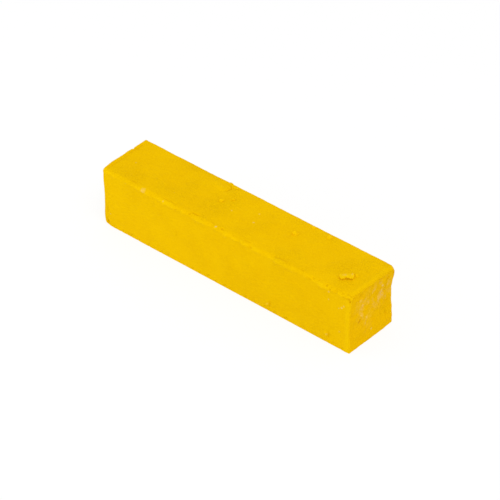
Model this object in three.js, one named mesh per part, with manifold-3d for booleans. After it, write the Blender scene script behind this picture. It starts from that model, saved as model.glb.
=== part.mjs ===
// A bar of detailing clay: a square stick of kneadable polymer clay as it leaves the extruder, cut to
// length, with the curled flake and the crumbs of the same clay that cling to its top face.
// Millimetres, +Z up. +X runs along the bar, +Y across it. The origin is the centre of the underside.

import * as THREE from 'three';
import { mergeVertices } from 'three/addons/utils/BufferGeometryUtils.js';
import Module from 'manifold-3d';

const wasm = await Module();
wasm.setup();

// Driving dimensions of the bar.
const LENGTH = 110;
const WIDTH = 22.5;
const HEIGHT = 23;

// Left by the extruder's square die: the rounding along the four long edges.
const LONG_EDGE_RADIUS = 0.8;

// Left by the cutter, which drags the soft clay over as it goes down: the top rim of each end overhangs
// its foot by the setback, the face between them is hollowed by the dish, and the upright edges are rounded.
const ENDS = {
  left: { setback: 0.3, dish: 0.35 },
  right: { setback: 0.7, dish: 0.85 },
};
const UPRIGHT_EDGE_RADIUS = 0.9;
const RIM_THICKNESS = 1.2;
const FOOT_RADIUS = 0.5;

// How far each profile runs past the bar, so that where they are intersected no two walls coincide.
const MARGIN = 5;
const CURVE_SEGMENTS = 10;

// Clay stuck to the top face. x and y are the piece's centre; turn is about +Z, in degrees.
const FLAKE = { x: 46.4, y: -3.5, length: 4.7, width: 2.7, thickness: 0.85, rise: 1.25, turn: 43 };
const CRUMBS = [
  { x: 19.0, y: 3.4, radius: 0.9, height: 0.75 },
  { x: 28.8, y: 9.2, radius: 0.8, height: 0.6 },
  { x: 21.2, y: 9.9, radius: 0.7, height: 0.45 },
  { x: 48.8, y: -1.0, radius: 0.6, height: 0.6 },
  { x: -11.8, y: 1.4, radius: 0.65, height: 0.5 },
  { x: -9.2, y: 4.3, radius: 0.55, height: 0.45 },
];

const clay = new THREE.MeshStandardMaterial({ color: 0xeebd08, roughness: 0.6, metalness: 0 });

// A closed three.js geometry as a solid that can be cut: only positions are kept, and shared vertices
// are merged.
function solidOf(geometry) {
  geometry.deleteAttribute('normal');
  geometry.deleteAttribute('uv');
  const merged = mergeVertices(geometry);
  return new wasm.Manifold(
    new wasm.Mesh({
      numProp: 3,
      vertProperties: merged.getAttribute('position').array,
      triVerts: new Uint32Array(merged.index.array),
    }),
  );
}

// The solid's vertices and triangles back as a three.js geometry with flat faces.
function geometryOf(solid) {
  const mesh = solid.getMesh();
  const geometry = new THREE.BufferGeometry();
  geometry.setAttribute('position', new THREE.BufferAttribute(mesh.vertProperties, 3));
  geometry.setIndex(new THREE.BufferAttribute(mesh.triVerts, 1));
  const flat = geometry.toNonIndexed();
  flat.computeVertexNormals();
  return flat;
}

// An outline drawn in XY and pushed along +Z by depth, centred on Z.
function prism(outline, depth) {
  const geometry = new THREE.ExtrudeGeometry(outline, {
    depth,
    bevelEnabled: false,
    curveSegments: CURVE_SEGMENTS,
  });
  return geometry.translate(0, 0, -depth / 2);
}

// A rectangle centred on the origin, with its four corners rounded.
function roundedRectangle(width, height, radius) {
  const outline = new THREE.Shape();
  const x = width / 2 - radius;
  const y = height / 2 - radius;
  outline.absarc(x, y, radius, 0, Math.PI / 2);
  outline.absarc(-x, y, radius, Math.PI / 2, Math.PI);
  outline.absarc(-x, -y, radius, Math.PI, 1.5 * Math.PI);
  outline.absarc(x, -y, radius, 1.5 * Math.PI, 2 * Math.PI);
  outline.closePath();
  return outline;
}

// The bar seen from the front, X across and Y up: level underside and top, and at each end the
// overhanging rim, the dished cut face and the rounded foot. A curve's control point lies twice as deep as
// the curve itself.
function sideOutline() {
  const rim = LENGTH / 2;
  const top = HEIGHT + MARGIN;
  const rimBottom = HEIGHT - RIM_THICKNESS;
  const middle = HEIGHT / 2;
  const leftFoot = -rim + ENDS.left.setback;
  const rightFoot = rim - ENDS.right.setback;
  const leftHollow = (leftFoot - rim) / 2 + 2 * ENDS.left.dish;
  const rightHollow = (rightFoot + rim) / 2 - 2 * ENDS.right.dish;
  const outline = new THREE.Shape();
  outline.moveTo(leftFoot + FOOT_RADIUS, 0);
  outline.lineTo(rightFoot - FOOT_RADIUS, 0);
  outline.absarc(rightFoot - FOOT_RADIUS, FOOT_RADIUS, FOOT_RADIUS, -Math.PI / 2, 0);
  outline.quadraticCurveTo(rightHollow, middle, rim, rimBottom);
  outline.lineTo(rim, top);
  outline.lineTo(-rim, top);
  outline.lineTo(-rim, rimBottom);
  outline.quadraticCurveTo(leftHollow, middle, leftFoot, FOOT_RADIUS);
  outline.absarc(leftFoot + FOOT_RADIUS, FOOT_RADIUS, FOOT_RADIUS, Math.PI, 1.5 * Math.PI);
  return outline;
}

// The bar is what its end section, its side outline and its plan have in common.
function barGeometry() {
  const endSection = solidOf(
    prism(roundedRectangle(HEIGHT, WIDTH, LONG_EDGE_RADIUS), LENGTH + 2 * MARGIN)
      .rotateY(Math.PI / 2)
      .translate(0, 0, HEIGHT / 2),
  );
  const side = solidOf(prism(sideOutline(), WIDTH + 2 * MARGIN).rotateX(Math.PI / 2));
  const plan = solidOf(
    prism(roundedRectangle(LENGTH, WIDTH, UPRIGHT_EDGE_RADIUS), HEIGHT + 2 * MARGIN)
      .translate(0, 0, HEIGHT / 2),
  );
  return geometryOf(endSection.intersect(side).intersect(plan));
}

// A thin shaving that lies on its flat middle with both long sides curled up, as an arched strip seen
// from its end.
function flakeGeometry() {
  const { length, width, thickness, rise } = FLAKE;
  const half = width / 2;
  const outline = new THREE.Shape();
  outline.moveTo(-half / 2, 0);
  outline.lineTo(half / 2, 0);
  outline.quadraticCurveTo(half, 0, half, rise);
  outline.quadraticCurveTo(half - thickness, thickness, 0, thickness);
  outline.quadraticCurveTo(thickness - half, thickness, -half, rise);
  outline.quadraticCurveTo(-half, 0, -half / 2, 0);
  return prism(outline, length).rotateX(Math.PI / 2).rotateZ(Math.PI / 2);
}

// A crumb is a low dome with a flat underside: a quarter ellipse turned about Z.
function crumbGeometry({ radius, height }) {
  const rings = 5;
  const profile = [new THREE.Vector2(0, 0)];
  for (let i = 0; i <= rings; i++) {
    const angle = (i / rings) * (Math.PI / 2);
    profile.push(new THREE.Vector2(i === rings ? 0 : radius * Math.cos(angle), height * Math.sin(angle)));
  }
  return new THREE.LatheGeometry(profile, 14).rotateX(Math.PI / 2);
}

const root = new THREE.Group();

const bar = new THREE.Mesh(barGeometry(), clay);
bar.name = 'clay_bar';
root.add(bar);

// Everything stuck to the bar stands on its top face.
const stuckClay = new THREE.Group();
stuckClay.position.z = HEIGHT;
root.add(stuckClay);

const flake = new THREE.Mesh(flakeGeometry(), clay);
flake.name = 'curled_flake';
flake.position.set(FLAKE.x, FLAKE.y, 0);
flake.rotation.z = THREE.MathUtils.degToRad(FLAKE.turn);
stuckClay.add(flake);

CRUMBS.forEach((crumb, index) => {
  const mesh = new THREE.Mesh(crumbGeometry(crumb), clay);
  mesh.name = `crumb_${index + 1}`;
  mesh.position.set(crumb.x, crumb.y, 0);
  stuckClay.add(mesh);
});

export default root;
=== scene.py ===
import math

import bpy
import numpy as np
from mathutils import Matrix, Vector


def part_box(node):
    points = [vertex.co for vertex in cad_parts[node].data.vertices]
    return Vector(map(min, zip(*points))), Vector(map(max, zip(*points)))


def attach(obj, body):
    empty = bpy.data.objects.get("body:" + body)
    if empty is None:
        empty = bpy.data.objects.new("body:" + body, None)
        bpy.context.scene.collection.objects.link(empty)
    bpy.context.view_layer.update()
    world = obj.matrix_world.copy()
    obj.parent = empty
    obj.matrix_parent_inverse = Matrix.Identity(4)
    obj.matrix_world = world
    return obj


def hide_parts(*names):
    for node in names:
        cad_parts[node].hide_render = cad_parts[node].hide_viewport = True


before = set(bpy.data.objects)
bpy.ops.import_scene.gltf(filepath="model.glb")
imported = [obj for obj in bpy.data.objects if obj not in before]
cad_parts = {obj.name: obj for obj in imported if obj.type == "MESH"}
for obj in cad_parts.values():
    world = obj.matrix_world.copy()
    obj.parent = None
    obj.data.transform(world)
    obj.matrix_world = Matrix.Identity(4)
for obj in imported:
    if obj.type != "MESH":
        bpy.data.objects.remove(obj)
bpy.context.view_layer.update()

# ---- The bar ----
# One stick of kneadable detailing clay, pressed through a square die, so its long faces are smooth and
# its edges soft. A blade cut it to length: it left one end clean, and at the other it rolled the long
# faces over in a lip and tore the clay inside it.

MM = 0.001
bar_low, bar_high = (np.array(corner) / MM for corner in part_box("clay_bar"))
BAR_HALF = (bar_high - bar_low) / 2
BAR_CENTRE = (bar_high + bar_low) / 2
END, SIDE, TOP = BAR_HALF
LENGTH, HEIGHT = 2 * END, 2 * TOP

# Spacing of the mesh: fine within a band along every edge, and coarser between, most so along the bar.
FINE_STEP, COARSE_STEPS, EDGE_BAND = 0.15, (0.43, 0.36, 0.36), 1.8

# The edges are crisp from the die, but the one with the fin is blunt, and two of the corners have been
# knocked round.
CRISP_RADIUS, FIN_RADIUS, KNOCKED_RADIUS = 0.40, 1.40, 1.5

# The fin's middle lies this far below the top face. Between these two places along the bar the fin
# breaks up into knots, and it stays in knots as far as the torn end.
FIN_DROP, FIN_HEIGHT, FIN_WIDTH = 0.85, 0.26, 0.74
BREAK_UP = (33, 39)

# How far the lip reaches in from the torn end, how far the shape of either end reaches along the bar,
# and how far out the clay can hold a burr.
LIP, END_REACH, HIGHEST_BURR = 1.9, 7, 0.6

# A cell so long that kneaded heights hardly change across an edge or an end.
LONG = 90

# Primes that pick one of this many random numbers for each corner of a lattice.
LATTICE_PRIMES, LATTICE_NUMBERS = (73856093, 19349663, 83492791), 8192

# How many nicks each bottom edge has, and how many dents the far side and the smooth end.
NICKS_PER_SIDE, SIDE_DENTS, END_DENTS = 34, 16, 6

# What is pressed into the skin: each a depth, the two ends of a line about the bar's centre, and the
# line's width.
SUNK = (
    # Behind the rim of the smooth end, and the notch in it.
    (0.26, (-END + 1.7, -9.6, TOP), (-END + 1.8, 0.6, TOP), 0.25),
    (0.30, (-END + 0.4, 5.0, TOP), (-END + 2.0, 5.6, TOP), 0.35),
    # A forked crease by the far edge, and two dents in the top.
    (0.38, (-15.2, 10.1, TOP), (-14.1, 9.1, TOP), 0.30),
    (0.44, (-14.0, 8.9, TOP), (-14.2, 6.4, TOP), 0.28),
    (0.38, (-13.8, 9.2, TOP), (-11.6, 10.2, TOP), 0.28),
    (0.24, (-14.7, -10.2, TOP), (-11.6, -9.6, TOP), 0.36),
    (0.16, (25.6, -8.9, TOP), (26.8, -7.1, TOP), 0.60),
    # Crevices beside the fin and between its knots.
    (0.40, (38.8, -SIDE + 0.6, TOP), (39.1, -SIDE + 0.3, 11.2), 0.42),
    (0.34, (41.2, -SIDE + 0.9, TOP), (41.4, -SIDE + 0.7, TOP), 0.40),
    (0.50, (44.6, -SIDE + 0.5, TOP), (44.8, -SIDE + 0.2, 11.1), 0.42),
    (0.40, (48.5, -SIDE + 0.6, TOP), (48.7, -SIDE + 0.3, 11.2), 0.40),
    (0.34, (51.1, -SIDE + 0.5, TOP), (51.3, -SIDE + 0.3, 11.2), 0.38),
    (0.30, (-27.2, -SIDE + 1.2, TOP), (-24.6, -SIDE + 1.0, TOP), 0.40),
    (0.42, (-15.2, -SIDE + 0.2, 10.9), (-14.8, -SIDE + 0.7, TOP), 0.38),
    (0.40, (-1.2, -SIDE + 0.9, TOP), (-0.6, -SIDE + 0.8, TOP), 0.40),
    (0.36, (11.9, -SIDE, 10.6), (12.6, -SIDE, 10.7), 0.38),
    # The near face: beside its two burrs, a crack, a scratch, and a hole at each of two corners.
    (0.40, (20.7, -SIDE, -7.6), (20.6, -SIDE, -9.4), 0.34),
    (0.40, (46.1, -SIDE, -7.4), (46.0, -SIDE, -9.1), 0.34),
    (0.34, (-20.7, -SIDE, 0.7), (-20.8, -SIDE, -0.6), 0.26),
    (0.16, (-2.3, -SIDE, 6.3), (-1.6, -SIDE, 6.2), 0.30),
    (0.44, (END - 0.4, -SIDE, 9.8), (END - 0.4, -SIDE, 9.3), 0.36),
    (0.45, (-END + 1.6, -SIDE, -9.6), (-END + 2.0, -SIDE, -10.0), 0.45),
    # Pits in the torn face, and the line that the blade's edge left down its far side.
    (0.75, (END, 8.2, 8.4), (END, 8.1, 8.1), 0.42),
    (0.36, (END, 10.0, 6.7), (END, 10.1, 6.3), 0.30),
    (0.36, (END, 4.4, 9.2), (END, 3.6, 8.3), 0.34),
    (0.34, (END, -5.8, 9.2), (END, -5.3, 8.8), 0.34),
    (0.28, (END, -4.8, 3.6), (END, -3.8, 2.8), 0.42),
    (0.26, (END, 5.6, -5.0), (END, 5.9, -5.4), 0.34),
    (0.28, (END, 8.0, -5.4), (END, 8.2, -6.4), 0.32),
    (0.22, (END, 7.6, 7.4), (END, 8.0, -8.2), 0.22),
    (0.75, (END, -5.4, -1.2), (END, -5.5, -2.2), 0.36),
)

# What stands out from the skin: each a height, the two ends of a line, and the line's width.
RAISED = (
    # A burr on the far edge, a patch pushed up beside the crease, and one by the smooth end's notch.
    (0.30, (-16.1, SIDE - 0.2, TOP), (-15.4, SIDE - 0.3, TOP), 0.42),
    (0.36, (-20.0, 8.4, TOP), (-16.8, 6.8, TOP), 1.15),
    (0.22, (-END + 0.9, 1.6, TOP), (-END + 1.0, 4.0, TOP), 0.80),
    # Two burrs low on the near face.
    (0.55, (19.6, -SIDE, -7.9), (19.8, -SIDE, -8.7), 0.55),
    (0.55, (44.9, -SIDE, -7.6), (45.1, -SIDE, -8.4), 0.55),
    # Knots in the fin.
    (0.20, (-37.8, -SIDE, 10.4), (-36.4, -SIDE, 10.6), 0.60),
    (0.48, (-34.3, -SIDE, 10.7), (-33.8, -SIDE, 10.4), 0.55),
    (0.50, (-26.5, -SIDE, 10.4), (-26.0, -SIDE, 10.2), 0.48),
    (0.50, (-22.6, -SIDE, 10.6), (-21.7, -SIDE, 10.4), 0.55),
    (0.42, (-12.6, -SIDE, 10.2), (-8.2, -SIDE + 0.2, 10.6), 0.62),
    (0.52, (-3.7, -SIDE + 0.2, 11.0), (-2.9, -SIDE + 0.3, 11.0), 0.55),
    (0.46, (8.0, -SIDE + 0.3, 11.0), (8.6, -SIDE + 0.3, 11.0), 0.48),
    (0.40, (13.2, -SIDE + 0.1, 10.8), (16.0, -SIDE + 0.1, 10.8), 0.80),
    (0.42, (23.0, -SIDE + 0.1, 10.8), (25.6, -SIDE + 0.1, 10.8), 0.85),
    (0.40, (35.5, -SIDE + 0.1, 10.8), (36.2, -SIDE, 10.5), 0.50),
    (0.56, (42.8, -SIDE, 10.7), (43.4, -SIDE, 10.5), 0.48),
    (0.48, (46.9, -SIDE + 0.1, 10.9), (47.4, -SIDE, 10.6), 0.42),
    (0.50, (49.7, -SIDE, 10.7), (50.0, -SIDE, 10.5), 0.42),
    (0.40, (52.3, -SIDE + 0.2, 10.8), (52.8, -SIDE + 0.1, 10.7), 0.45),
)


def graded(half, fine, coarse, band):
    """Places along one axis from -half to half: steps of about fine within a band at both ends, and of
    about coarse between."""
    edge = np.linspace(half - band, half, round(band / fine) + 1)
    middle = np.linspace(band - half, half - band, round(2 * (half - band) / coarse) + 1)
    return np.concatenate([-edge[:0:-1], middle, edge[1:]])


def six_sheets(steps):
    """The surface of a box as six grids that share their edges: on each, one coordinate stays at its
    last or first step while the other two run over theirs. Gives the welded points and the corners of
    each face."""
    points, faces, first = [], [], 0
    for axis in range(3):
        across, along = (axis + 1) % 3, (axis + 2) % 3
        for side in (-1, 0):
            u, v = np.meshgrid(steps[across], steps[along], indexing="ij")
            sheet = np.empty((u.size, 3))
            sheet[:, axis] = steps[axis][side]
            sheet[:, across] = u.ravel()
            sheet[:, along] = v.ravel()
            index = first + np.arange(u.size).reshape(u.shape)
            corners = [index[:-1, :-1], index[1:, :-1], index[1:, 1:], index[:-1, 1:]]
            quads = np.stack(corners, axis=-1).reshape(-1, 4)
            points.append(sheet)
            faces.append(quads if side == -1 else quads[:, ::-1])
            first += u.size
    welded, where = np.unique(np.round(np.concatenate(points), 6), axis=0, return_inverse=True)
    return welded, where.reshape(-1)[np.concatenate(faces)]


def rounded(points, half, radius):
    """Rounds a box's edges: each point is pulled in to the box that is smaller by the radius, then
    pushed out again by the radius along the line between the two, the surface's normal there."""
    core = np.clip(points, radius - half, half - radius)
    away = points - core
    normal = away / np.linalg.norm(away, axis=1, keepdims=True)
    return core + radius * normal, normal


def kneaded(points, cell, seed):
    """Smooth random heights from -1 to 1: every corner of a lattice of cells takes a random number, and
    between the corners the numbers blend along the three axes by the curve 3t^2 - 2t^3. The cell has
    one size, or one for each axis."""
    numbers = np.random.default_rng(seed).uniform(-1, 1, LATTICE_NUMBERS)
    place = points / cell
    corner = np.floor(place).astype(np.int64)
    blend = (place - corner) ** 2 * (3 - 2 * (place - corner))
    total = np.zeros(len(points))
    for step in np.ndindex(2, 2, 2):
        key = ((corner + step) * LATTICE_PRIMES).sum(axis=1) % LATTICE_NUMBERS
        total += np.prod(np.where(step, blend, 1 - blend), axis=1) * numbers[key]
    return total


def rough(points, cell, seed, octaves=3):
    """Kneaded heights in layers, each with half the cell and half the height of the one before."""
    layers = [kneaded(points, np.array(cell) / 2**i, seed + i) / 2**i for i in range(octaves)]
    return sum(layers) / (2 - 0.5 ** (octaves - 1))


def ease(value, start, stop):
    """0 before start, 1 after stop, and the curve 3t^2 - 2t^3 between. Start may be the larger."""
    t = np.clip((value - start) / (stop - start), 0, 1)
    return t * t * (3 - 2 * t)


def bell(distance, width):
    """A bell curve, e to the power of minus the square of the distance measured in widths."""
    return np.exp(-((distance / width) ** 2))


def lump(points, place, size):
    """1 at the place, falling off as a bell curve of the distance measured in sizes, one per axis."""
    return np.exp(-(((points - place) / size) ** 2).sum(axis=1))


def stroke(points, start, stop, width):
    """1 along the line from start to stop, falling off as a bell curve of the distance from it."""
    start, stop = np.array(start, float), np.array(stop, float)
    along = np.clip((points - start) @ (stop - start) / ((stop - start) @ (stop - start)), 0, 1)
    gap = np.linalg.norm(points - start - along[:, None] * (stop - start), axis=1)
    return bell(gap, width)


def strokes(points, rows):
    """Strokes times their heights: the sum of them all, and the highest one at each point."""
    total, highest = np.zeros(len(points)), np.zeros(len(points))
    for height, start, stop, width in rows:
        pressed = height * stroke(points, start, stop, width)
        total += pressed
        highest = np.maximum(highest, pressed)
    return total, highest


def nicks(chance):
    """Short slanting nicks every few millimetres, where both bottom edges were pulled over a bench."""
    for side in (-SIDE, SIDE):
        places = np.linspace(-END + 4, END - 3, NICKS_PER_SIDE)
        for place in places + chance.uniform(-1.4, 1.4, NICKS_PER_SIDE):
            foot = -TOP + chance.uniform(0.2, 0.8)
            reach = chance.uniform(0.5, 1.3)
            depth = chance.uniform(0.12, 0.42)
            yield depth, (place, side, foot), (place + reach, side, foot + 0.7 * reach), 0.26


def dents(chance):
    """Dents from handling, scattered over the far side and then over the face of the smooth end."""
    far_side = (-50, SIDE, -9), (50, SIDE, 10)
    smooth_face = (-END, -9, -9), (-END, 9, 9)
    for low, high in (far_side,) * SIDE_DENTS + (smooth_face,) * END_DENTS:
        start = chance.uniform(low, high)
        stop = start + chance.uniform(-1.2, 1.2, 3)
        depth = chance.uniform(0.12, 0.34)
        yield depth, start, stop, chance.uniform(0.25, 0.55)


def edge_radius(box):
    """How round the bar's edges are: crisp, a little uneven, blunt round the near top edge as a bell
    curve that stops short of the torn end, and rounder at two corners."""
    by_fin = np.exp(-(((box[:, 1] + SIDE) ** 2 + (box[:, 2] - TOP) ** 2) / 4**2))
    radius = CRISP_RADIUS + (FIN_RADIUS - CRISP_RADIUS) * by_fin + 0.08 * kneaded(box, (7, 40, 40), 3)
    radius += (CRISP_RADIUS - FIN_RADIUS) * by_fin * ease(box[:, 0], END - 2.5, END - 0.5)
    radius += (KNOCKED_RADIUS - CRISP_RADIUS) * lump(box, (END, SIDE, TOP), 1.3)
    return radius + (KNOCKED_RADIUS - CRISP_RADIUS) * lump(box, (-END, -SIDE, -TOP), 2.2)


def fin(skin, top):
    """Clay squeezed out of the die's seam along the near top edge. It stands out as a bell curve of the
    distance from a line that wanders, times a swell that comes and goes. Here and there the top is grooved
    beside it. Gives the height, a painted highlight along the swelling fin, and painted shade in the
    groove and in the crevices between its knots."""
    across = skin[:, 1] + SIDE - 0.10 - 0.35 * kneaded(skin, (3.2, LONG, LONG), 25)
    gap = np.hypot(across, skin[:, 2] - TOP + FIN_DROP) + 0.40 * kneaded(skin, (2.5, LONG, LONG), 24)
    broken = ease(skin[:, 0], *BREAK_UP)
    knots = (1.4 + 1.2 * broken) * kneaded(skin, (1.5, LONG, LONG), 22)
    swell = np.clip(0.36 + 1.2 * kneaded(skin, (4.5, LONG, LONG), 21) + knots, 0, 1.9)
    groove = top * bell(across - 1.15, 0.36) * ease(kneaded(skin, (2.6, LONG, LONG), 23), 0.0, 0.5)
    crevice = broken * ease(swell, 0.35, 0.0) * bell(gap, 0.6)
    height = FIN_HEIGHT * swell * bell(gap, FIN_WIDTH) - 0.18 * groove
    # The swelling fin is painted lighter, a painted highlight where light catches its bead, and the groove
    # and crevices beside it are painted darker, a painted shade.
    painted_highlight = 0.28 * np.minimum(swell, 1.8) * bell(gap, 0.75)
    return height, painted_highlight, np.maximum(0.32 * groove, 0.42 * crevice)


def torn_end(skin, normal, top, under, near, right):
    """The end that faces +X. The long faces swell in a low bell curve and then turn over the lip in a
    quarter of an ellipse. The blade leaned, so the face falls back below its rim, most at the far side,
    and comes forward again at the foot, but not at the far corner. Inside a wandering outline it is dished
    and torn by kneaded heights. Gives the height, the shift along the bar, how torn the clay is, its pale
    bloom, a painted highlight on the lip, and painted shade on the torn face and at the far top corner."""
    x, y, z = skin.T
    to_top, to_foot, to_near, to_far = TOP - z, z + TOP, y + SIDE, SIDE - y
    rolled = (1 - right) * (1 - under)
    turned = np.clip((x - END + LIP) / LIP, 0, 1)
    height = 0.12 * rolled * bell(x - END + 0.75 * LIP, 0.6) * (1 + 0.9 * kneaded(skin, 1.8, 30))
    height -= 0.40 * rolled * (1 - np.sqrt(1 - 0.97 * turned**2))

    hollow = (0.35 + 0.80 * ease(y, -SIDE, SIDE)) * ease(to_top, 1, 9)
    foot = 0.20 + 0.95 * ease(y, 6, SIDE + 1)
    low_down = ease(to_top, 12, 21)
    shift = -ease(x, END - END_REACH, END) * (hollow * (1 - low_down) + foot * low_down)

    wander = 0.35 * kneaded(skin, (LONG, 2.6, 2.6), 31) + 0.15 * kneaded(skin, (LONG, 0.9, 0.9), 32)
    inside = ease(to_top + wander, 0.5, 0.9) * ease(to_near + wander, 0.4, 0.8)
    inside *= ease(to_far + wander, 0.1, 0.6) * ease(to_foot + wander, 0.0, 0.5)
    torn = right * inside
    dish = 0.10 + 0.15 * ease(to_far, 0, 3) * ease(to_foot, 0, 3)
    grit = kneaded(skin, (LONG, 1.0, 1.0), 37)
    tear = 0.20 * rough(skin, (LONG, 3.0, 2.2), 33, 2) + 0.26 * grit
    shift -= torn * (dish + tear * ease(to_foot, 0.0, 2.0))
    shift += 0.08 * right * (1 - inside) * (0.5 + kneaded(skin, (LONG, 1.6, 1.6), 38))

    # The pale bloom lies in three patches. Painted shade darkens blotches of the torn face, standing for
    # its pits, and the far top corner, which turns away from the light; the lip gets a painted highlight.
    patch = 1.15 * lump(skin, (END, 4.8, 4.6), (9, 5.4, 4.0))
    patch += 0.7 * lump(skin, (END, -4.2, 2.4), (9, 2.8, 3.6))
    patch += 0.25 * lump(skin, (END, -2.0, -3.8), (9, 2.2, 2.8))
    blotch = kneaded(skin, (LONG, 1.5, 1.9), 51) + 0.6 * kneaded(skin, (LONG, 0.7, 0.9), 52)
    corner = ease(normal[:, 0], 0.2, 0.6) * lump(skin, (END, SIDE, 9.6), (1.4, 0.9, 1.8))
    lip = rolled * bell(x - END + 0.5 * LIP, 0.9) * np.maximum(0.6 * top, near)
    painted_shade = np.maximum(0.30 * torn * ease(-grit, 0.2, 0.8), 0.60 * corner)
    return height, shift, torn, torn * patch * ease(blotch, -0.4, 0.7), 0.6 * lip, painted_shade


def smooth_end(skin, under, near, left):
    """The end that faces -X. The blade came down cleanly, a little askew: the face stands out as half a
    sine wave from top to foot, has a bell-shaped notch in its top edge, and keeps upright drag lines.
    Behind the rim runs a broken groove. Gives the height, the shift along the bar, and the painted shade
    that darkens the groove."""
    x, y, z = skin.T
    to_top = TOP - z
    askew = 0.40 - 0.90 * ease(y, -SIDE - 4, 1) + 0.50 * bell(y - 4.4, 0.45) * ease(to_top, 4, 0)
    askew -= 0.50 * ease(to_top, 9, 0) * ease(y, -2, -SIDE)
    askew += 0.28 * np.sin(np.pi * np.clip(to_top / HEIGHT, 0, 1))
    askew += 0.10 * kneaded(skin, (LONG, 5.0, 3.2), 40)
    drag = 0.10 * kneaded(skin, (LONG, 0.7, 9), 41) + 0.06 * kneaded(skin, (LONG, 0.3, 5), 42)
    shift = ease(-x, END - END_REACH, END) * askew + left * ease(to_top, 0.3, 1.0) * (drag + 0.08)
    in_from_rim = x + END - 1.2 - 0.4 * near - 0.3 * kneaded(skin, (LONG, LONG, 2), 43)
    groove = bell(in_from_rim, 0.35) * (1 - left) * (1 - under)
    groove *= ease(kneaded(skin, (LONG, 2.5, 2.5), 44), -0.5, 0.6)
    # The groove is painted darker, a painted shade, more so towards the near face.
    return -0.30 * groove, shift, 0.36 * groove * (1 + near)


def bar_surface():
    """The whole skin of the bar, in millimetres about the centre of its underside. A rounded box is moved
    along its normals by the sum of its marks, and along the bar at both ends by the shape that the blade
    left. Each point also keeps how torn its clay is, its pale bloom, how much painted highlight and
    painted shade it gets, and how much it faces up."""
    steps = [graded(half, FINE_STEP, coarse, EDGE_BAND) for half, coarse in zip(BAR_HALF, COARSE_STEPS)]
    box, faces = six_sheets(steps)
    skin, normal = rounded(box, BAR_HALF, edge_radius(box)[:, None])
    nx, ny, nz = normal.T
    top, under, near = ease(nz, 0.2, 0.9), ease(-nz, 0.1, 0.8), ease(-ny, 0.2, 0.9)
    right, left = ease(nx, 0.1, 0.9), ease(-nx, 0.1, 0.9)

    # Slow waves from the die and from handling, and a bulge at one foot. The underside lies flat.
    height = 0.10 * kneaded(skin, (26, 14, 14), 11) + 0.05 * kneaded(skin, (7, 5, 5), 12)
    height += 0.05 * rough(skin, 1.7, 13) * (1 + 1.1 * top)
    height += 0.55 * lump(skin, (END, SIDE, -TOP), (7, 3, 8))
    height *= 1 - under

    fin_height, fin_painted_highlight, fin_painted_shade = fin(skin, top)
    torn_height, torn_shift, torn, bloom_and_highlight, lip_painted_highlight, torn_painted_shade = torn_end(
        skin, normal, top, under, near, right
    )
    smooth_height, smooth_shift, smooth_painted_shade = smooth_end(skin, under, near, left)
    chance = np.random.default_rng(7)
    sunk, sunk_painted_shade = strokes(skin, SUNK)
    raised, knob = strokes(skin, RAISED)
    nicked, _ = strokes(skin, nicks(chance))
    dented, dent_painted_shade = strokes(skin, dents(chance))
    height += fin_height + torn_height + smooth_height + raised - sunk - nicked - dented

    moved = skin + normal * np.minimum(height, HIGHEST_BURR)[:, None]
    moved[:, 0] += torn_shift + smooth_shift
    moved[:, 2] = np.maximum(moved[:, 2], -TOP)
    # Painted shade darkens the grooves, crevices, pits, pressed strokes and dents and the far top corner;
    # a painted highlight lightens the fin, the lip and the raised knots and burrs.
    painted_shade = np.maximum.reduce([fin_painted_shade, torn_painted_shade, smooth_painted_shade, sunk_painted_shade, dent_painted_shade])
    painted_highlight = np.maximum.reduce([fin_painted_highlight, lip_painted_highlight, 1.1 * knob])
    marks = {"torn": torn, "bloom_and_highlight": bloom_and_highlight, "painted_highlight": painted_highlight, "painted_shade": painted_shade, "upper": top}
    return moved + BAR_CENTRE, faces, marks


def closed_mesh(name, points, faces, marks):
    """Puts points in millimetres and their four-cornered faces into a smooth-shaded mesh in metres,
    with each mark kept as a number at every point."""
    mesh = bpy.data.meshes.new(name)
    mesh.vertices.add(len(points))
    mesh.vertices.foreach_set("co", (points * MM).astype(np.float32).ravel())
    mesh.loops.add(faces.size)
    mesh.loops.foreach_set("vertex_index", faces.astype(np.int32).ravel())
    mesh.polygons.add(len(faces))
    mesh.polygons.foreach_set("loop_start", np.arange(0, faces.size, 4, dtype=np.int32))
    mesh.polygons.foreach_set("use_smooth", np.ones(len(faces), bool))
    for mark, values in marks.items():
        attribute = mesh.attributes.new(mark, "FLOAT", "POINT")
        attribute.data.foreach_set("value", values.astype(np.float32))
    mesh.update(calc_edges=True)
    mesh.validate()
    piece = bpy.data.objects.new(name, mesh)
    bpy.context.scene.collection.objects.link(piece)
    return piece


class Wire:
    """The output of a shader node. Each +, - or * between wires and numbers adds one Math node and
    gives its output."""

    def __init__(self, socket):
        self.socket = socket
        self.tree = socket.id_data

    @staticmethod
    def node(tree, kind, settings, sockets, output=0):
        """Adds a node of that kind. Its settings come first, and then each input, by name or number,
        takes its value or is linked to a wire."""
        made = tree.nodes.new(kind)
        for key, value in settings.items():
            setattr(made, key, value)
        for key, value in sockets.items():
            if isinstance(value, Wire):
                tree.links.new(value.socket, made.inputs[key])
            else:
                made.inputs[key].default_value = value
        return Wire(made.outputs[output]) if made.outputs else None

    def math(self, operation, first, second):
        return Wire.node(self.tree, "ShaderNodeMath", {"operation": operation}, {0: first, 1: second})

    def __add__(self, other):
        return self.math("ADD", self, other)

    __radd__ = __add__

    def __sub__(self, other):
        return self.math("SUBTRACT", self, other)

    def __rsub__(self, other):
        return self.math("SUBTRACT", other, self)

    def __mul__(self, other):
        return self.math("MULTIPLY", self, other)

    __rmul__ = __mul__


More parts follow.
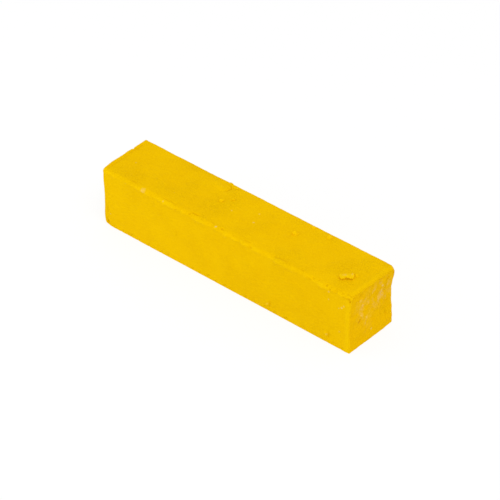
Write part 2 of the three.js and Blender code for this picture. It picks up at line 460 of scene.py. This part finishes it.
# Linear colours of the clay: the pressed skin in two tones, torn clay, a painted highlight for edges and
# tops that catch the light, a painted shade for hollows, the pale bloom of oil and filler that dries on
# torn clay, which also paints two highlight spots on the flake, and dust.
SKIN_YELLOW = (0.845, 0.508, 0.0003, 1)
WARM_YELLOW = (0.800, 0.460, 0.0003, 1)
TORN_YELLOW = (0.790, 0.440, 0.0005, 1)
PAINTED_HIGHLIGHT_YELLOW = (0.87, 0.545, 0.0010, 1)
PAINTED_SHADE_YELLOW = (0.62, 0.29, 0.0004, 1)
BLOOM_AND_HIGHLIGHT_YELLOW = (0.80, 0.47, 0.11, 1)
DUST_YELLOW = (0.83, 0.54, 0.14, 1)

# How deep the finest relief goes, and the faint warm sheen of the clay.
RELIEF_DEPTH = 0.22
SHEEN, SHEEN_TINT = 0.006, (1.0, 0.66, 0.0, 1)

# Specks of pale dust, each a place about the bar's centre, a radius and a strength.
DUST = (
    ((END, 5.4, 6.7), 0.50, 1.0),
    ((END, 5.6, 1.7), 0.42, 0.6),
    ((END, 0.8, -8.0), 0.42, 0.7),
    ((END, -4.1, 4.1), 0.40, 0.6),
    ((END, -1.9, -1.7), 0.35, 0.5),
    ((END, 7.7, 0.9), 0.3, 0.5),
    ((END, 5.5, 4.0), 0.32, 0.5),
    ((END, -7.8, 7.4), 0.3, 0.4),
    ((END - 2.9, -SIDE, 6.7), 0.40, 0.5),
    ((-3.3, -10.9, 11.2), 0.50, 1.0),
    ((4.4, -0.9, TOP), 0.45, 0.6),
    ((-5.5, -0.6, TOP), 0.38, 0.45),
    ((-35.9, -SIDE, 11.0), 1.15, 0.34),
    ((-36.7, -SIDE, 10.6), 0.60, 0.20),
    ((45.8, -SIDE, 6.4), 0.36, 0.55),
    ((45.0, -SIDE, -8.0), 0.5, 0.20),
    ((19.7, -SIDE, -8.3), 0.45, 0.15),
    ((-51.7, -SIDE, -6.0), 0.35, 0.35),
    ((50.7, -SIDE, -4.2), 0.35, 0.3),
    ((51.2, -SIDE, 5.9), 0.50, 0.60),
    ((50.2, -SIDE, 5.2), 0.34, 0.30),
    ((END, -5.8, 6.9), 0.80, 0.30),
    ((END, -4.4, 0.6), 0.42, 0.35),
    ((END, -2.5, -3.9), 0.60, 0.30),
    ((END, 1.1, 6.4), 0.60, 0.30),
    ((2.7, 4.2, TOP), 0.40, 0.3),
    ((-26.5, -SIDE, 10.9), 0.45, 0.4),
    ((45.7, -SIDE, 9.6), 0.46, 0.50),
    ((-48.4, -1.1, TOP), 0.4, 0.3),
)


def clay_material(skin):
    """Yellow clay, nearly matt. Its colour drifts and is speckled between two yellows, deepens where the
    clay is torn, darkens under painted shade in hollows, lightens under painted highlights on edges and
    tops, and pales under bloom and dust. Its relief is a fine grain with fibres smeared along the bar,
    coarser in patches and on the top."""
    material = bpy.data.materials.new("yellow_clay")
    material.use_nodes = True
    tree = material.node_tree
    tree.nodes.clear()
    place = Wire.node(tree, "ShaderNodeTexCoord", {}, {}, "Object")

    def grain(size, detail=2.0, stretch=(1, 1, 1), turn=0.0):
        """Noise from 0 to 1 whose grains are about size millimetres, and longer along an axis by one
        over its stretch. The turn, about Z, takes another cut through the noise."""
        spot = Wire.node(tree, "ShaderNodeMapping", {"vector_type": "POINT"},
                         {"Vector": place, "Rotation": (0, 0, turn), "Scale": stretch})
        return Wire.node(tree, "ShaderNodeTexNoise", {"noise_dimensions": "3D"},
                         {"Vector": spot, "Scale": 1 / (size * MM), "Detail": detail, "Roughness": 0.55},
                         "Fac")

    def mark(name):
        """The number that the mesh keeps under that name at its points."""
        return Wire.node(tree, "ShaderNodeAttribute", {"attribute_name": name}, {}, "Fac")

    def step(value, low, high):
        """0 where the value is at low, 1 at high, and eased between. Low may be the larger."""
        return Wire.node(tree, "ShaderNodeMapRange", {"interpolation_type": "SMOOTHSTEP"},
                         {"Value": value, "From Min": low, "From Max": high}, 0)

    def mixed(share, first, second):
        """The first colour where the share is 0, the second where it is 1, and blended between."""
        return Wire.node(tree, "ShaderNodeMix", {"data_type": "RGBA"}, {0: share, 6: first, 7: second}, 2)

    torn, bloom_and_highlight, painted_highlight = mark("torn"), mark("bloom_and_highlight"), mark("painted_highlight")
    painted_shade, upper = mark("painted_shade"), mark("upper")
    cloud = step(grain(9.0), 0.3, 0.7)
    speck = step(grain(0.55, 3.0), 0.35, 0.65)
    colour = mixed(0.4 * cloud + 0.6 * speck, SKIN_YELLOW, WARM_YELLOW)
    colour = mixed(torn, colour, mixed(step(grain(0.8, 3.0), 0.3, 0.7), TORN_YELLOW, WARM_YELLOW))
    # Painted highlight: edges and tops are painted lighter where light catches them.
    colour = mixed(painted_highlight, colour, PAINTED_HIGHLIGHT_YELLOW)
    # Painted shade: hollows are painted darker.
    colour = mixed(step(painted_shade, 0.10, 0.70), colour, PAINTED_SHADE_YELLOW)
    # Pale bloom on the torn end; on the flake the same mark is a painted highlight.
    colour = mixed(bloom_and_highlight * step(grain(0.6, 3.0), 0.35, 0.6), colour, BLOOM_AND_HIGHLIGHT_YELLOW)

    # A speck of dust is strongest within half its radius of the point of the skin next to its place,
    # and fades out at its radius, with a ragged outline.
    dust, ragged = 0.0, grain(0.5)
    for spot, radius, strength in DUST:
        nearest = np.argmin(((skin - BAR_CENTRE - spot) ** 2).sum(axis=1))
        centre = tuple(skin[nearest] * MM)
        gap = Wire.node(tree, "ShaderNodeVectorMath", {"operation": "DISTANCE"},
                        {0: place, 1: centre}, "Value")
        gap = gap + 1.2 * radius * MM * (ragged - 0.5)
        dust = dust + strength * step(gap, radius * MM, 0.5 * radius * MM)
    colour = mixed(dust, colour, DUST_YELLOW)

    fibres = grain(0.8, 3.0, (0.25, 1, 1), 0.5) + grain(0.7, 3.0, (0.22, 1, 1), -0.35)
    patchy = (0.6 + 0.9 * step(grain(14.0), 0.4, 0.6)) * (1 + 0.5 * upper)
    relief = (0.6 * grain(0.45, 3.0) + 0.5 * fibres) * patchy + 0.9 * torn * grain(0.6, 4.0, (1, 0.9, 1.0))
    bumped = Wire.node(tree, "ShaderNodeBump", {},
                       {"Height": relief, "Distance": RELIEF_DEPTH * MM, "Strength": 1.0})
    roughness = 0.56 + 0.10 * grain(2.5) + 0.15 * torn - 0.12 * painted_highlight
    surface = Wire.node(tree, "ShaderNodeBsdfPrincipled", {},
                        {"Base Color": colour, "Roughness": roughness, "Normal": bumped,
                         "Specular IOR Level": SHEEN, "Specular Tint": SHEEN_TINT})
    Wire.node(tree, "ShaderNodeOutputMaterial", {}, {"Surface": surface})
    return material


bar_points, bar_faces, bar_marks = bar_surface()
clay = clay_material(bar_points)
bar = closed_mesh("pressed_bar", bar_points, bar_faces, bar_marks)
bar.data.materials.append(clay)
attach(bar, "root")
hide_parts("clay_bar")

# ---- The curled flake ----
# A thin shaving of the same clay, pushed up by the blade and dropped on the top face near the torn end.
# It sticks by its own tack: the middle of its near side and its tip have curled up, and its far side
# droops.

flake_low, flake_high = (np.array(corner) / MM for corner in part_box("curled_flake"))
FLAKE_CENTRE = (flake_low + flake_high) / 2
FLAKE_TURN = math.radians(42)
FLAKE_LENGTH, FLAKE_WIDTH, FLAKE_THICKNESS = 4.9, 2.9, 0.90

# How far the flake lies past the middle of its box, towards the torn end, and how deep it is sunk.
FLAKE_ASIDE, FLAKE_SUNK = 0.4, 0.05


def flake_surface(rows=56, around=36):
    """A flat ring, the flake's section, is carried along its length. The ring is a slab with rounded
    corners, from the 0.6th power of a cosine and a sine, and it closes at both ends over a short round
    nose. Blends of the places along and across lift it and lower it. Its upper side gets a painted
    highlight, with two brighter spots of painted highlight."""
    u = np.linspace(-1, 1, rows)
    angle = np.linspace(0, 2 * np.pi, around, endpoint=False)
    u, angle = np.meshgrid(u, angle, indexing="ij")
    nose = np.clip(1 - np.abs(u) ** 7, 0, 1) ** 0.5
    ragged = 1 + 0.18 * np.sin(5.0 * u + 1.3 * np.sign(np.cos(angle))) + 0.08 * np.sin(17 * u + 2 * angle)
    across = FLAKE_WIDTH / 2 * np.sign(np.cos(angle)) * np.abs(np.cos(angle)) ** 0.6 * nose * ragged
    thick = FLAKE_THICKNESS / 2 * np.sign(np.sin(angle)) * np.abs(np.sin(angle)) ** 0.6 * nose
    along = FLAKE_LENGTH / 2 * u
    near_side = 0.12 * ease(-across, -0.2, 1.1) * ease(u, -0.7, -0.1) * ease(u, 0.72, 0.5)
    tip = 0.40 * ease(u, 0.66, 0.84) * ease(across, -0.8, 0.3)
    droop = 0.20 * ease(across, 0.3, 1.3) + 0.15 * ease(u, 0.5, 0.8) * ease(-across, 0.3, 0.9)
    up = near_side + tip - droop + thick + FLAKE_THICKNESS / 2
    points = np.stack([along, across, up], axis=-1).reshape(-1, 3)
    points[:, 2] += 0.05 * kneaded(points, 0.8, 61)
    index = np.arange(rows * around).reshape(rows, around)
    ahead = np.roll(index, -1, axis=1)
    faces = np.stack([index[:-1], ahead[:-1], ahead[1:], index[1:]], axis=-1).reshape(-1, 4)
    c, s = math.cos(FLAKE_TURN), math.sin(FLAKE_TURN)
    turned = points @ np.array([[c, s, 0], [-s, c, 0], [0, 0, 1]])
    turned += (FLAKE_CENTRE[0] + FLAKE_ASIDE, FLAKE_CENTRE[1], HEIGHT - FLAKE_SUNK)
    # The upper side gets a painted highlight, and two spots of it are brighter still, carried by the bloom
    # mark.
    upper = ease(np.sin(angle), 0.1, 0.8).ravel()
    pale = lump(points, (-0.6, 0.2, 0.8), (0.6, 0.4, 9)) + lump(points, (1.9, 0.4, 1.0), (0.35, 0.6, 9))
    return turned, faces, {"painted_highlight": upper, "bloom_and_highlight": 0.8 * upper * pale}


flake = closed_mesh("curled_shaving", *flake_surface())
flake.data.materials.append(clay)
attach(flake, "root")
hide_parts("curled_flake")

# ---- The crumbs ----
# Six pinched-off bits of the same clay, pressed lightly on the top face. Each is a lumpy heap whose
# skirt has spread and stuck to the soft bar.

# Steps along each side of a crumb's grid, how far below its middle a ball is cut flat, and how a heap
# fills the crumb's box.
CRUMB_STEPS, CUT_FLAT, HEAP_FILL = 15, 0.12, (0.54, 0.54, 1.04)


def crumb_surface(node, seed):
    """A box is rounded to a ball, the ball is cut flat below its middle, and its rings spread outward
    by the square of how far they are below the top. Kneaded heights push the heap in and out, and its
    foot sinks into the bar."""
    low, high = (np.array(corner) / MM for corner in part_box(node))
    ball, faces = six_sheets([np.linspace(-1, 1, CRUMB_STEPS)] * 3)
    ball, _ = rounded(ball, np.ones(3), 0.999)
    lumps = 1 + 0.30 * kneaded(ball + seed, 0.9, seed) + 0.12 * kneaded(ball + seed, 0.4, seed + 1)
    spread = 0.85 + 0.40 * (1 - np.clip(ball[:, 2], 0, 1)) ** 2
    heap = ball * np.stack([lumps * spread, lumps * spread, 1.15 * lumps], axis=1)
    heap[:, 2] = np.maximum(heap[:, 2], -CUT_FLAT)
    foot = np.array([(low[0] + high[0]) / 2, (low[1] + high[1]) / 2, low[2]])
    points = heap * (high - low) * HEAP_FILL + foot
    # The upper part of each heap gets a painted highlight.
    return points, faces, {"painted_highlight": ease(heap[:, 2], 0.2, 0.8)}


crumb_nodes = sorted(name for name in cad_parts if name.startswith("crumb_"))
for number, node in enumerate(crumb_nodes, start=1):
    crumb = closed_mesh(f"pinched_crumb_{number}", *crumb_surface(node, 70 + 5 * number))
    crumb.data.materials.append(clay)
    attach(crumb, "root")
    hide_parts(node)

# ---- The table, the light and the camera ----
# A seamless sheet of white paper: flat under the bar, and far out swept up all round into a low wall.
# Over it is a soft sky, with one wide light high up beyond the torn end and a small, faintly green one
# low by the smooth end. The camera has a long lens.

PAPER_RADIUS, SWEEP_RADIUS, WALL_HEIGHT = 3.6, 0.8, 2.3
TURNS, BEND_POINTS = 96, 13


def paper_surface():
    """A profile turned about Z: it starts at the rim of the flat disc, goes up through a quarter circle
    and ends in an upright line. The disc is one face, and each step of the profile is a band of
    four-cornered faces."""
    bend = np.linspace(0, np.pi / 2, BEND_POINTS)
    out = np.append(PAPER_RADIUS - SWEEP_RADIUS * (1 - np.sin(bend)), PAPER_RADIUS)
    up = np.append(SWEEP_RADIUS * (1 - np.cos(bend)), WALL_HEIGHT)
    angle = np.linspace(0, 2 * np.pi, TURNS, endpoint=False)
    rings = [np.outer(out, np.cos(angle)), np.outer(out, np.sin(angle)), np.outer(up, np.ones(TURNS))]
    points = np.stack(rings, axis=-1).reshape(-1, 3)
    index = np.arange(out.size * TURNS).reshape(out.size, TURNS)
    ahead = np.roll(index, -1, axis=1)
    bands = np.stack([index[:-1], ahead[:-1], ahead[1:], index[1:]], axis=-1).reshape(-1, 4)
    return points, [index[0].tolist()] + bands[:, ::-1].tolist()


sheet_points, sheet_faces = paper_surface()
sheet_mesh = bpy.data.meshes.new("white_sheet")
sheet_mesh.from_pydata(sheet_points, [], sheet_faces)
sheet = bpy.data.objects.new("white_sheet", sheet_mesh)
bpy.context.scene.collection.objects.link(sheet)

# The paper gives off most of its white itself, as if lit from behind, so the bar leaves hardly any
# shadow on it.
PAPER_GREY, PAPER_GLOW = 0.14, 0.86
paper = bpy.data.materials.new("white_paper")
paper.use_nodes = True
paper_finish = paper.node_tree.nodes["Principled BSDF"]
paper_finish.inputs["Base Color"].default_value = (PAPER_GREY, PAPER_GREY, PAPER_GREY, 1)
paper_finish.inputs["Emission Color"].default_value = (1, 1, 1, 1)
paper_finish.inputs["Emission Strength"].default_value = PAPER_GLOW
paper_finish.inputs["Roughness"].default_value = 0.9
paper_finish.inputs["Specular IOR Level"].default_value = 0.0
sheet_mesh.materials.append(paper)

scene = bpy.context.scene
world = bpy.data.worlds.new("soft_sky")
world.use_nodes = True
world.node_tree.nodes["Background"].inputs["Color"].default_value = (1, 1, 1, 1)
world.node_tree.nodes["Background"].inputs["Strength"].default_value = 0.70
world.cycles_visibility.glossy = False
scene.world = world
scene.view_settings.view_transform = "Standard"


def soft_light(name, place, target, size, power, colour=(1, 1, 1)):
    """A square light of that size and colour, at the place and turned to face the target."""
    data = bpy.data.lights.new(name, "AREA")
    data.shape = "SQUARE"
    data.size = size
    data.energy = power
    data.color = colour
    lamp = bpy.data.objects.new(name, data)
    lamp.location = place
    lamp.rotation_euler = (Vector(target) - Vector(place)).to_track_quat("-Z", "Y").to_euler()
    bpy.context.scene.collection.objects.link(lamp)


soft_light("near_light", (0.44, -0.20, 0.86), (0, 0, 0), 0.5, 3.0)
soft_light("left_light", (-0.20, -0.20, 0.12), (-END * MM, 0, 0), 0.12, 0.13, (0.8, 1.0, 0.9))

# The way round the bar that the camera stands and how high, how far off in metres, its lens and its
# sensor in millimetres, and the point it aims at, a little towards the torn end from the middle.
CAMERA_AZIMUTH, CAMERA_HEIGHT_ANGLE = math.radians(41.4), math.radians(36.56)
CAMERA_DISTANCE, CAMERA_LENS, CAMERA_SENSOR = 0.9355, 201.6, 36
aim = Vector((0.02 * LENGTH, 0, 0.437 * HEIGHT)) * MM
back = Vector((
    math.sin(CAMERA_AZIMUTH) * math.cos(CAMERA_HEIGHT_ANGLE),
    -math.cos(CAMERA_AZIMUTH) * math.cos(CAMERA_HEIGHT_ANGLE),
    math.sin(CAMERA_HEIGHT_ANGLE),
))
camera_data = bpy.data.cameras.new("studio_camera")
camera_data.lens = CAMERA_LENS
camera_data.sensor_width = CAMERA_SENSOR
camera = bpy.data.objects.new("studio_camera", camera_data)
camera.location = aim + CAMERA_DISTANCE * back
camera.rotation_euler = back.to_track_quat("Z", "Y").to_euler()
bpy.context.scene.collection.objects.link(camera)
scene.camera = camera
